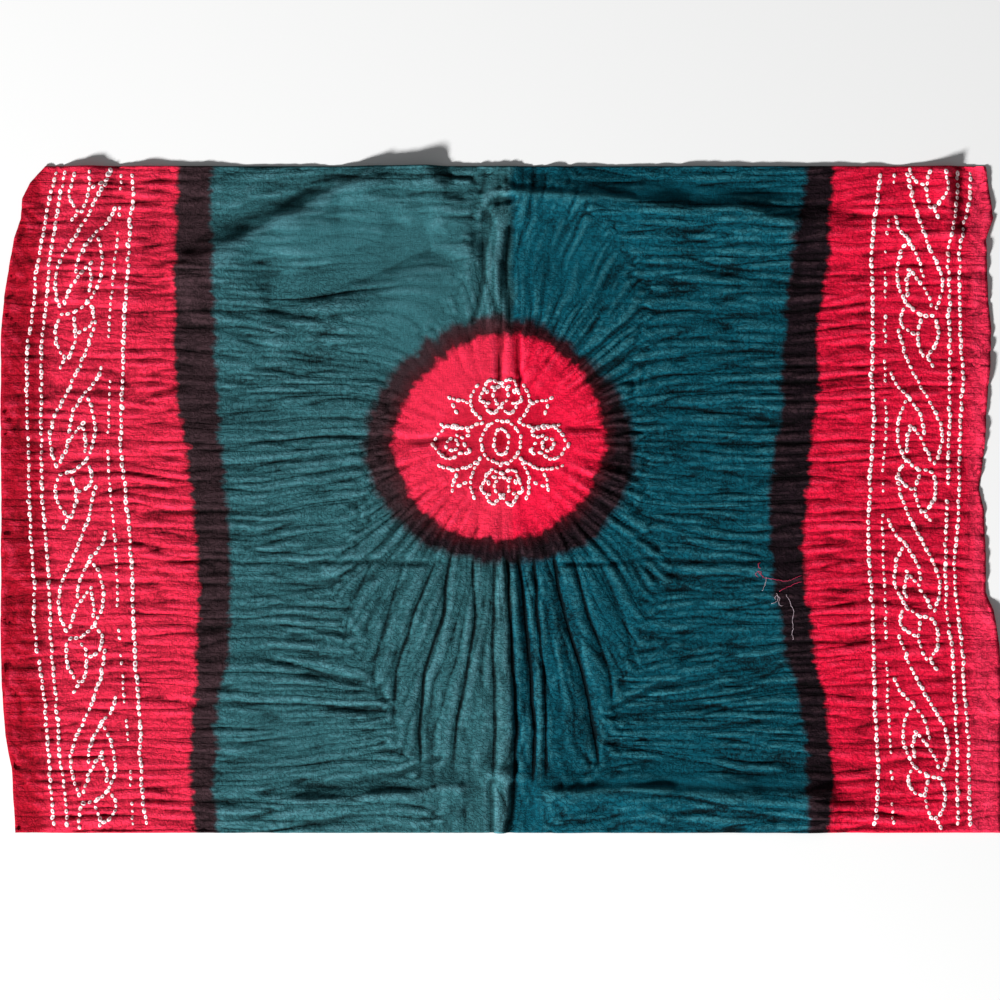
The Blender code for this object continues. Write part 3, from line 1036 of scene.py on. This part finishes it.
def new_material(name, roughness):
    """A material's shader, and a wire to start its nodes from."""
    material = bpy.data.materials.new(name)
    material.use_nodes = True
    shader = material.node_tree.nodes["Principled BSDF"]
    shader.inputs["Roughness"].default_value = roughness
    shader.inputs["Specular IOR Level"].default_value = SHINE
    return material, shader, Wire(material.node_tree)


def place_mm(wire):
    """Two wires with the place across and along the object, in millimetres."""
    coordinates = wire.node("ShaderNodeTexCoord", None, None, 3)
    split = wire.node("ShaderNodeSeparateXYZ", None, {"Vector": coordinates}).socket.node
    return [Wire(wire.tree, split.outputs[axis]) * (1.0 / MM) for axis in "XY"]


# Each dye has a lighter copy for the painted highlights on the crests, and a paler, greyer copy for
# the painted haze of light over the left half.
CRIMSON = dye(219, 20, 56)
CRIMSON_HAZED = dye(219, 39, 68)
CRIMSON_HIGHLIGHT = dye(244, 64, 100)
CRIMSON_DEEP = dye(160, 6, 30)
BLACK = dye(24, 13, 19)
BLACK_HAZED = dye(50, 34, 38)
BLACK_HIGHLIGHT = dye(84, 60, 66)
WINE = dye(74, 6, 16)
TEAL = dye(4, 70, 84)
TEAL_HAZED = dye(44, 90, 96)
TEAL_HIGHLIGHT = dye(58, 120, 130)
TEAL_HIGHLIGHT_HAZED = dye(86, 134, 144)
HAZE_LINE = 9.5           # left of this the dyes carry a painted haze of light
DEEP_EDGE = 408.0         # the crimson is deepest beyond this on the left, and in the flower
DEEP_FLOWER = 62.0
DEEP_HEART = 10.0
THIN_EDGE = 423.0         # and thin beyond this on the right
RING_FOOT = -62.0         # below this the ring's black has no painted haze
THREAD_PITCH = 0.8

# Unevenness of the dye and the yarn: how wide and how high its patches are, where its pattern is
# read, and its detail.
Patches = namedtuple("Patches", "wide high place detail")
STRAY_ACROSS = Patches(24.0, 24.0, 3.0, 3.0)
STRAY_ALONG = Patches(21.0, 21.0, 9.0, 3.0)
RAGGED = Patches(7.0, 7.0, 4.0, 2.0)
MOTTLE = Patches(30.0, 24.0, 0.0, 4.0)
UNEVEN_LINES = Patches(46.0, 15.0, 6.0, 2.0)
WEFT_SLUBS = Patches(6.0, 0.9, 0.0, 2.0)
WARP_SLUBS = Patches(0.9, 6.0, 0.0, 2.0)
BENT_ACROSS, BENT_ALONG, BENT_ROUND = 14.0, 4.5, 8.0

# The dyes wick along the puffs, so each edge is feathered between its start and stop.
DyeEdge = namedtuple("DyeEdge", "mark start stop")
BAND_EDGE = DyeEdge("in_band", -3.0, 3.0)
FIELD_EDGE = DyeEdge("in_field", -3.4, 3.4)
RING_EDGE = DyeEdge("in_ring", -6.0, 5.0)
MEDALLION_EDGE = DyeEdge("in_medallion", -3.4, 3.4)
WINE_EDGE = DyeEdge("in_medallion", -16.0, 0.0)

# Fine crease lines, drawn where the mesh has its own: how wide, how fuzzy and how deep they are.
# Their depth sets the bump, and also the painted shade that darkens the dye along them.
Line = namedtuple("Line", "mark width fuzz depth")
LINES = (
    Line("broad_puffs", 0.11, 0.05, 0.28),
    Line("common_puffs", 0.17, 0.10, 0.28),
    Line("fine_puffs", 0.26, 0.10, 0.10),
)
HAIR_WIDTH = 0.10
HAIR_DEPTH = 0.10
CRUSHED_DEPTH = 0.24
PLEAT_LINE = 2.2
PLEAT_LINE_DEPTH = 0.36
MEAN_LINE = 0.86
CREASE_SHADE = 0.42       # share of the light that the painted shade leaves in the deepest hollows
DARKEST = 0.15


def dyed_cotton():
    """The dyes with their feathered edges, the crease lines on them, and the weave, with painted
    shade in the creases, painted highlights on the crests and a painted haze of light over the left
    half.
    """
    material, shader, wire = new_material("dyed cotton", 0.92)
    x, y = place_mm(wire)

    def patches(p):
        return wire.noise(wire.vector(x / p.wide, y / p.high, p.place), p.detail)

    stray, stray_along = patches(STRAY_ACROSS), patches(STRAY_ALONG)
    bent_x = x + stray * BENT_ACROSS
    bent_y = wire.attribute("drawn_in") + stray_along * BENT_ALONG
    out_x = x - CENTRE_X + stray * BENT_ROUND
    out_y = y - CENTRE_Y + stray_along * BENT_ROUND
    out = (out_x * out_x + out_y * out_y + 1.0).of_itself("SQRT")
    round_x, round_y = out_x / out, out_y / out

    def across(long, narrow, detail):
        return wire.noise(wire.vector(bent_x / long, bent_y / narrow), detail)

    def outward(count, long, detail):
        return wire.noise(wire.vector(round_x * count, round_y * count, out / long), detail)

    def creases(noise, width):
        """0 where the noise changes sign, and 1 a width away from there."""
        return noise.of_itself("ABSOLUTE").step(0.0, width)

    def dyed(edge, feather):
        return (wire.attribute(edge.mark) + feather).step(edge.start, edge.stop)

    ragged, mottle = patches(RAGGED), patches(MOTTLE)
    feather_side = across(long=18.0, narrow=8.0, detail=3.0) * 17.0
    feather_side = feather_side + across(long=9.0, narrow=3.0, detail=2.0) * 5.0
    feather_round = outward(count=8.0, long=26.0, detail=3.0) * 18.0 + ragged * 9.0
    band = dyed(BAND_EDGE, feather_side)
    field = dyed(FIELD_EDGE, feather_side)
    ring = dyed(RING_EDGE, feather_round)
    medallion = dyed(MEDALLION_EDGE, feather_round)
    near_medallion = dyed(WINE_EDGE, feather_round)

    fan = wire.attribute("fan")
    hollow = wire.attribute("hollow")
    crinkled = wire.attribute("crinkled").step(0.2, 1.0)
    ringed_in = wire.attribute("in_medallion").step(-26.0, 8.0)
    strong = (patches(UNEVEN_LINES) + 0.5).step(0.28, 0.64) * 0.8 + 0.2
    kept = (1.0 - ringed_in * 0.55) * (1.0 - fan * 0.3) * strong
    hair = creases(across(long=26.0, narrow=4.0, detail=1.0), HAIR_WIDTH) * (1.0 - fan)
    hair = hair + creases(outward(count=26.0, long=30.0, detail=1.0), HAIR_WIDTH) * fan
    hair = 1.0 - (1.0 - hair) * (mottle + 0.5).step(0.25, 0.72) * (1.0 - ringed_in)
    crushed = creases(wire.noise(wire.vector(bent_x / 5.6, y / 4.4, 5.0), 3.0), HAIR_WIDTH)
    fine = hair * HAIR_DEPTH + crushed * CRUSHED_DEPTH
    for line in LINES:
        drawn = creases(wire.attribute(line.mark) + ragged * line.fuzz, line.width)
        fine = fine + (1.0 - (1.0 - drawn) * kept) * line.depth
    fine = 1.0 - (1.0 - fine) * (crinkled * 0.75 + 0.25)
    from_pleat = ((wire.attribute("pleat") + 0.5).of_itself("FRACT") - 0.5).of_itself("ABSOLUTE")
    off_pleat = from_pleat * wire.attribute("pleat_gap") + stray * 1.2
    pleat_line = (1.0 - off_pleat.step(0.1, PLEAT_LINE)) * wire.attribute("pleat_depth")
    fine = fine - pleat_line * PLEAT_LINE_DEPTH

    # Painted haze of light: left of the line down the middle, the dyes are mixed towards paler,
    # greyer copies.
    painted_haze = (HAZE_LINE - x + mottle * 14.0 + stray * 8.0).step(-5.0, 5.0)
    # Painted highlight: where the cloth stands above its hollows, on the crests, the dyes are mixed
    # towards lighter colours.
    crest = (mottle * 0.5 - hollow + fine * 0.5 - 0.35).step(0.0, 1.0)
    deep = (stray * 20.0 - DEEP_EDGE - x).step(0.0, 24.0)
    deep = deep + (DEEP_FLOWER - out + feather_round).step(0.0, 24.0) * 0.62
    deep = deep + (DEEP_HEART - out).step(0.0, 6.0) * 0.5
    thin = (x - THIN_EDGE + stray * 16.0).step(0.0, 16.0)
    foot_of_ring = (RING_FOOT - out_y).step(0.0, 30.0) * ring
    crimson = (deep * 0.9).mixed(painted_haze.mixed(CRIMSON, CRIMSON_HAZED), CRIMSON_DEEP)
    # The crests' painted highlight and the paler right edge both mix towards the same pale crimson.
    crimson = (crest * 0.35 + thin * 0.4).mixed(crimson, CRIMSON_HIGHLIGHT)
    black = (painted_haze * (1.0 - foot_of_ring)).mixed(BLACK, BLACK_HAZED)
    black = (crest * 0.25).mixed(black, BLACK_HIGHLIGHT)
    teal = painted_haze.mixed(TEAL, TEAL_HAZED)
    teal = (crest * 0.4).mixed(teal, painted_haze.mixed(TEAL_HIGHLIGHT, TEAL_HIGHLIGHT_HAZED))
    ringed = (near_medallion * 0.55).mixed(black, WINE)
    colour = band.mixed(crimson, black)
    colour = field.mixed(colour, teal)
    colour = ring.mixed(colour, ringed)
    colour = medallion.mixed(colour, crimson)

    to_turns = 2.0 * math.pi / THREAD_PITCH
    weave = (y * to_turns).of_itself("SINE") * (x * to_turns).of_itself("SINE")
    slub = patches(WEFT_SLUBS) + patches(WARP_SLUBS)
    height = fine * 1.05 + weave * 0.06 + slub * 0.26
    bump = wire.node("ShaderNodeBump", None, {"Strength": 1.0, "Distance": MM, "Height": height})
    # Painted shade: the dye is darkened along the fine crease lines and in the mesh's hollows, where
    # the cloth lies in shade. The slubs and mottle add the yarn's own uneven tone.
    crease = (hollow + mottle * 0.3).step(0.1, 1.0)
    lines = (fine - MEAN_LINE) * (1.3 + band * (0.85 - painted_haze * 0.5))
    lines = lines + slub * 0.85 + mottle * 0.3 + 0.99
    shade = lines.math("MAXIMUM", lines, DARKEST) * (1.0 - crease * (1.0 - CREASE_SHADE))
    shaded = wire.node("ShaderNodeVectorMath", {"operation": "SCALE"}, {0: colour, "Scale": shade})
    wire.tree.links.new(shaded.socket, shader.inputs["Base Color"])
    wire.tree.links.new(bump.socket, shader.inputs["Normal"])
    return material


cloth.data.materials.append(dyed_cotton())
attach(cloth, "root")
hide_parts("cloth")

# The tied points: each was pinched up and bound before dyeing, so it stands up as a small
# white pucker with a dimple, where a speck of dye got in at its tip.
DOT_RADIUS = 2.05
DOT_STRETCH = 1.18        # longer along its row than across
DOT_SIDES = 12
Profile = namedtuple("Profile", "out height")
DOT_PROFILE = (
    Profile(0.34, 0.46), Profile(0.70, 0.44), Profile(0.94, 0.18), Profile(1.10, -0.50),
)
DIMPLE = 0.34
WOBBLE = 0.06
LOWEST_SHARE = 0.75       # the smallest pinches stand nearly as high as the large ones


def on_cloth(x, y):
    """Height of the cloth's top at a place, between the lines of its mesh."""
    inner = HALF_WIDTH - EDGE_ZONE
    stretched = inner + (np.abs(x) - inner) * EDGE_ZONE / (edge_at(x, y) - inner)
    line = np.where(np.abs(x) > inner, np.sign(x) * stretched, x)
    row = np.clip((y + LENGTH / 2) / (rows[1] - rows[0]), 0, len(rows) - 1.001)
    column = np.clip(np.interp(line, columns, np.arange(len(columns))), 0, len(columns) - 1.001)
    r, c = row.astype(int), column.astype(int)
    up, over = row - r, column - c
    low = grid_z[r, c] * (1 - over) + grid_z[r, c + 1] * over
    high = grid_z[r + 1, c] * (1 - over) + grid_z[r + 1, c + 1] * over
    return low * (1 - up) + high * up


def tied_points(name, dots):
    """One mesh of small dimpled puckers that sit on the cloth."""
    turn = np.arange(DOT_SIDES) * 2.0 * np.pi / DOT_SIDES
    count = len(dots.x)
    radius = DOT_RADIUS * dots.size
    rounds = len(DOT_PROFILE)
    points = np.zeros((count, 1 + rounds * DOT_SIDES, 3))
    points[:, 0] = np.column_stack([dots.x, dots.y, on_cloth(dots.x, dots.y) + DIMPLE])
    for level, profile in enumerate(DOT_PROFILE):
        wobble = 1.0 + HAND.normal(0.0, WOBBLE, (count, DOT_SIDES))
        ahead = profile.out * radius[:, None] * DOT_STRETCH * np.cos(turn) * wobble
        aside = profile.out * radius[:, None] / DOT_STRETCH * np.sin(turn) * wobble
        cosine, sine = np.cos(dots.turn)[:, None], np.sin(dots.turn)[:, None]
        x = dots.x[:, None] + ahead * cosine - aside * sine
        y = dots.y[:, None] + ahead * sine + aside * cosine
        start = 1 + level * DOT_SIDES
        base = on_cloth(x, np.clip(y, -LENGTH / 2, LENGTH / 2))
        height = profile.height * (LOWEST_SHARE + (1.0 - LOWEST_SHARE) * dots.size[:, None])
        points[:, start:start + DOT_SIDES] = np.stack([x, y, base + height], axis=-1)
    faces = []
    for number in range(count):
        first = number * (1 + rounds * DOT_SIDES)
        for side in range(DOT_SIDES):
            one, two = first + 1 + side, first + 1 + (side + 1) % DOT_SIDES
            faces.append((first, one, two))
            for level in range(rounds - 1):
                inner, outer = level * DOT_SIDES, (level + 1) * DOT_SIDES
                faces.append((one + inner, one + outer, two + outer, two + inner))
    thing = mesh_object(name, points.reshape(-1, 3), faces)
    outs = np.concatenate([[0.0]] + [np.full(DOT_SIDES, p.out) for p in DOT_PROFILE])
    mark(thing, "out", np.tile(outs, count))
    mark(thing, "stain", np.repeat(HAND.random(count), 1 + rounds * DOT_SIDES))
    return thing


UNDYED = dye(255, 238, 240)
PEACH = dye(246, 172, 168)
PIP = dye(206, 92, 112)


def undyed_cotton():
    """White cotton, some of it stained, with a pip of dye in the dimple and dye round the foot."""
    material, shader, wire = new_material("undyed cotton", 0.9)
    x, y = place_mm(wire)
    out, stain = wire.attribute("out"), wire.attribute("stain")
    fibre = wire.noise(wire.vector(x / 0.5, y / 0.5), 3.0)
    tinted = (stain * 0.9 + fibre * 0.8).step(0.62, 1.15)
    pip = 1.0 - (out + fibre * 0.4 + stain * 0.3).step(0.36, 0.58)
    rim = (out + fibre * 0.3).step(0.80, 1.05)
    colour = tinted.mixed(UNDYED, PEACH)
    colour = pip.mixed(colour, PIP)
    colour = rim.mixed(colour, CRIMSON)
    wire.tree.links.new(colour.socket, shader.inputs["Base Color"])
    bump = wire.node("ShaderNodeBump", None, {"Strength": 0.6, "Distance": 0.3 * MM, "Height": fibre})
    wire.tree.links.new(bump.socket, shader.inputs["Normal"])
    return material


dot_material = undyed_cotton()
for name, dots in (
    ("left_border_tied_points", left_dots),
    ("right_border_tied_points", right_dots),
    ("medallion_tied_points", centre_dots),
):
    piece = tied_points(name, dots)
    piece.data.materials.append(dot_material)
    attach(piece, "root")

# Loose ends of tying thread: when the ties were pulled off after dyeing, a few ends of pink and
# white cotton thread stayed on the right black band. They lie on the cloth in loose curls.
Thread = namedtuple("Thread", "name x y turn length curl pale")
THREADS = (
    Thread("long pink end", 236, -66, -38, 46, 1.6, 0),
    Thread("pink loop", 238, -70, 60, 13, 21, 0),
    Thread("second pink end", 255, -85, 24, 24, -0.6, 0),
    Thread("short pink end", 240, -64, 150, 8, -15, 0),
    Thread("white end, falling", 243, -70, -85, 14, -3, 1),
    Thread("white curl", 252, -86, -20, 14, -13, 1),
    Thread("white tuft", 258, -90, 200, 11, 16, 1),
    Thread("small white tuft", 256, -92, 80, 9, 24, 1),
    Thread("long white end", 262, -86, -66, 46, -0.4, 1),
)
THREAD_RADIUS = 0.19
THREAD_STEP = 1.2
THREAD_SIDES = 5
THREAD_CLEAR = 0.5
KINK = 0.34
THREAD_RISE = Stray(0.5, 6.0, 6.0, 51)
PINK = dye(206, 50, 90)
WHITE = dye(196, 178, 188)


def loose_threads():
    """Thin tubes that wander over the cloth, closed at both ends."""
    points, faces, pale = [], [], []
    for thread in THREADS:
        steps = round(thread.length / THREAD_STEP) + 1
        turns = np.radians(thread.turn + thread.curl * THREAD_STEP * np.arange(steps))
        turns = turns + HAND.normal(0.0, KINK, steps)
        x = thread.x + np.cumsum(np.cos(turns)) * THREAD_STEP
        y = thread.y + np.cumsum(np.sin(turns)) * THREAD_STEP
        z = on_cloth(x, y) + THREAD_CLEAR + astray(THREAD_RISE, x, y)
        first = len(points)
        for number in range(steps):
            for side in range(THREAD_SIDES):
                angle = 2.0 * math.pi * side / THREAD_SIDES
                aside = THREAD_RADIUS * math.cos(angle)
                points.append((
                    x[number] - aside * math.sin(turns[number]),
                    y[number] + aside * math.cos(turns[number]),
                    z[number] + THREAD_RADIUS * math.sin(angle),
                ))
                pale.append(thread.pale)
        for number in range(steps - 1):
            for side in range(THREAD_SIDES):
                one = first + number * THREAD_SIDES + side
                two = first + number * THREAD_SIDES + (side + 1) % THREAD_SIDES
                faces.append((one, one + THREAD_SIDES, two + THREAD_SIDES, two))
        faces.append(tuple(range(first, first + THREAD_SIDES)))
        faces.append(tuple(reversed(range(len(points) - THREAD_SIDES, len(points)))))
    thing = mesh_object("loose_tying_threads", points, faces)
    mark(thing, "pale", pale)
    return thing


def thread_cotton():
    material, shader, wire = new_material("thread cotton", 0.9)
    x, y = place_mm(wire)
    fibre = wire.noise(wire.vector(x / 0.8, y / 0.8), 2.0)
    colour = (wire.attribute("pale") + fibre * 0.5).mixed(PINK, WHITE)
    wire.tree.links.new(colour.socket, shader.inputs["Base Color"])
    return material


threads = loose_threads()
threads.data.materials.append(thread_cotton())
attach(threads, "root")

# The floor is a plain pale sheet, and the light a soft box low on the left towards the
# camera's lower edge, which rakes over the creases, with an even pale room round it.
FLOOR_HALF = 12.0
FLOOR_DROP = -0.2 * MM
FLOOR_PALE = (0.88, 0.88, 0.875, 1.0)

bpy.ops.mesh.primitive_plane_add(size=2.0 * FLOOR_HALF, location=(0.0, 0.0, FLOOR_DROP))
floor = bpy.context.object
floor.name = "floor"
floor_material, floor_shader, _ = new_material("pale floor", 0.9)
floor_shader.inputs["Base Color"].default_value = FLOOR_PALE
floor.data.materials.append(floor_material)

KEY_PLACE = (-4.8, -5.3, 3.4)
KEY_SIZE = 1.3
KEY_POWER = 1390.0
ROOM_LIGHT = 0.17
ROOM_COLOUR = (0.97, 0.98, 1.0, 1.0)

key_data = bpy.data.lights.new("key", "AREA")
key_data.shape = "DISK"
key_data.size = KEY_SIZE
key_data.energy = KEY_POWER
key = bpy.data.objects.new("key", key_data)
key.location = KEY_PLACE
aim = key.location.copy()
aim.negate()
key.rotation_euler = aim.to_track_quat("-Z", "Y").to_euler()
bpy.context.scene.collection.objects.link(key)

room = bpy.data.worlds.new("room")
bpy.context.scene.world = room
room.use_nodes = True
background = room.node_tree.nodes["Background"]
background.inputs["Color"].default_value = ROOM_COLOUR
background.inputs["Strength"].default_value = ROOM_LIGHT
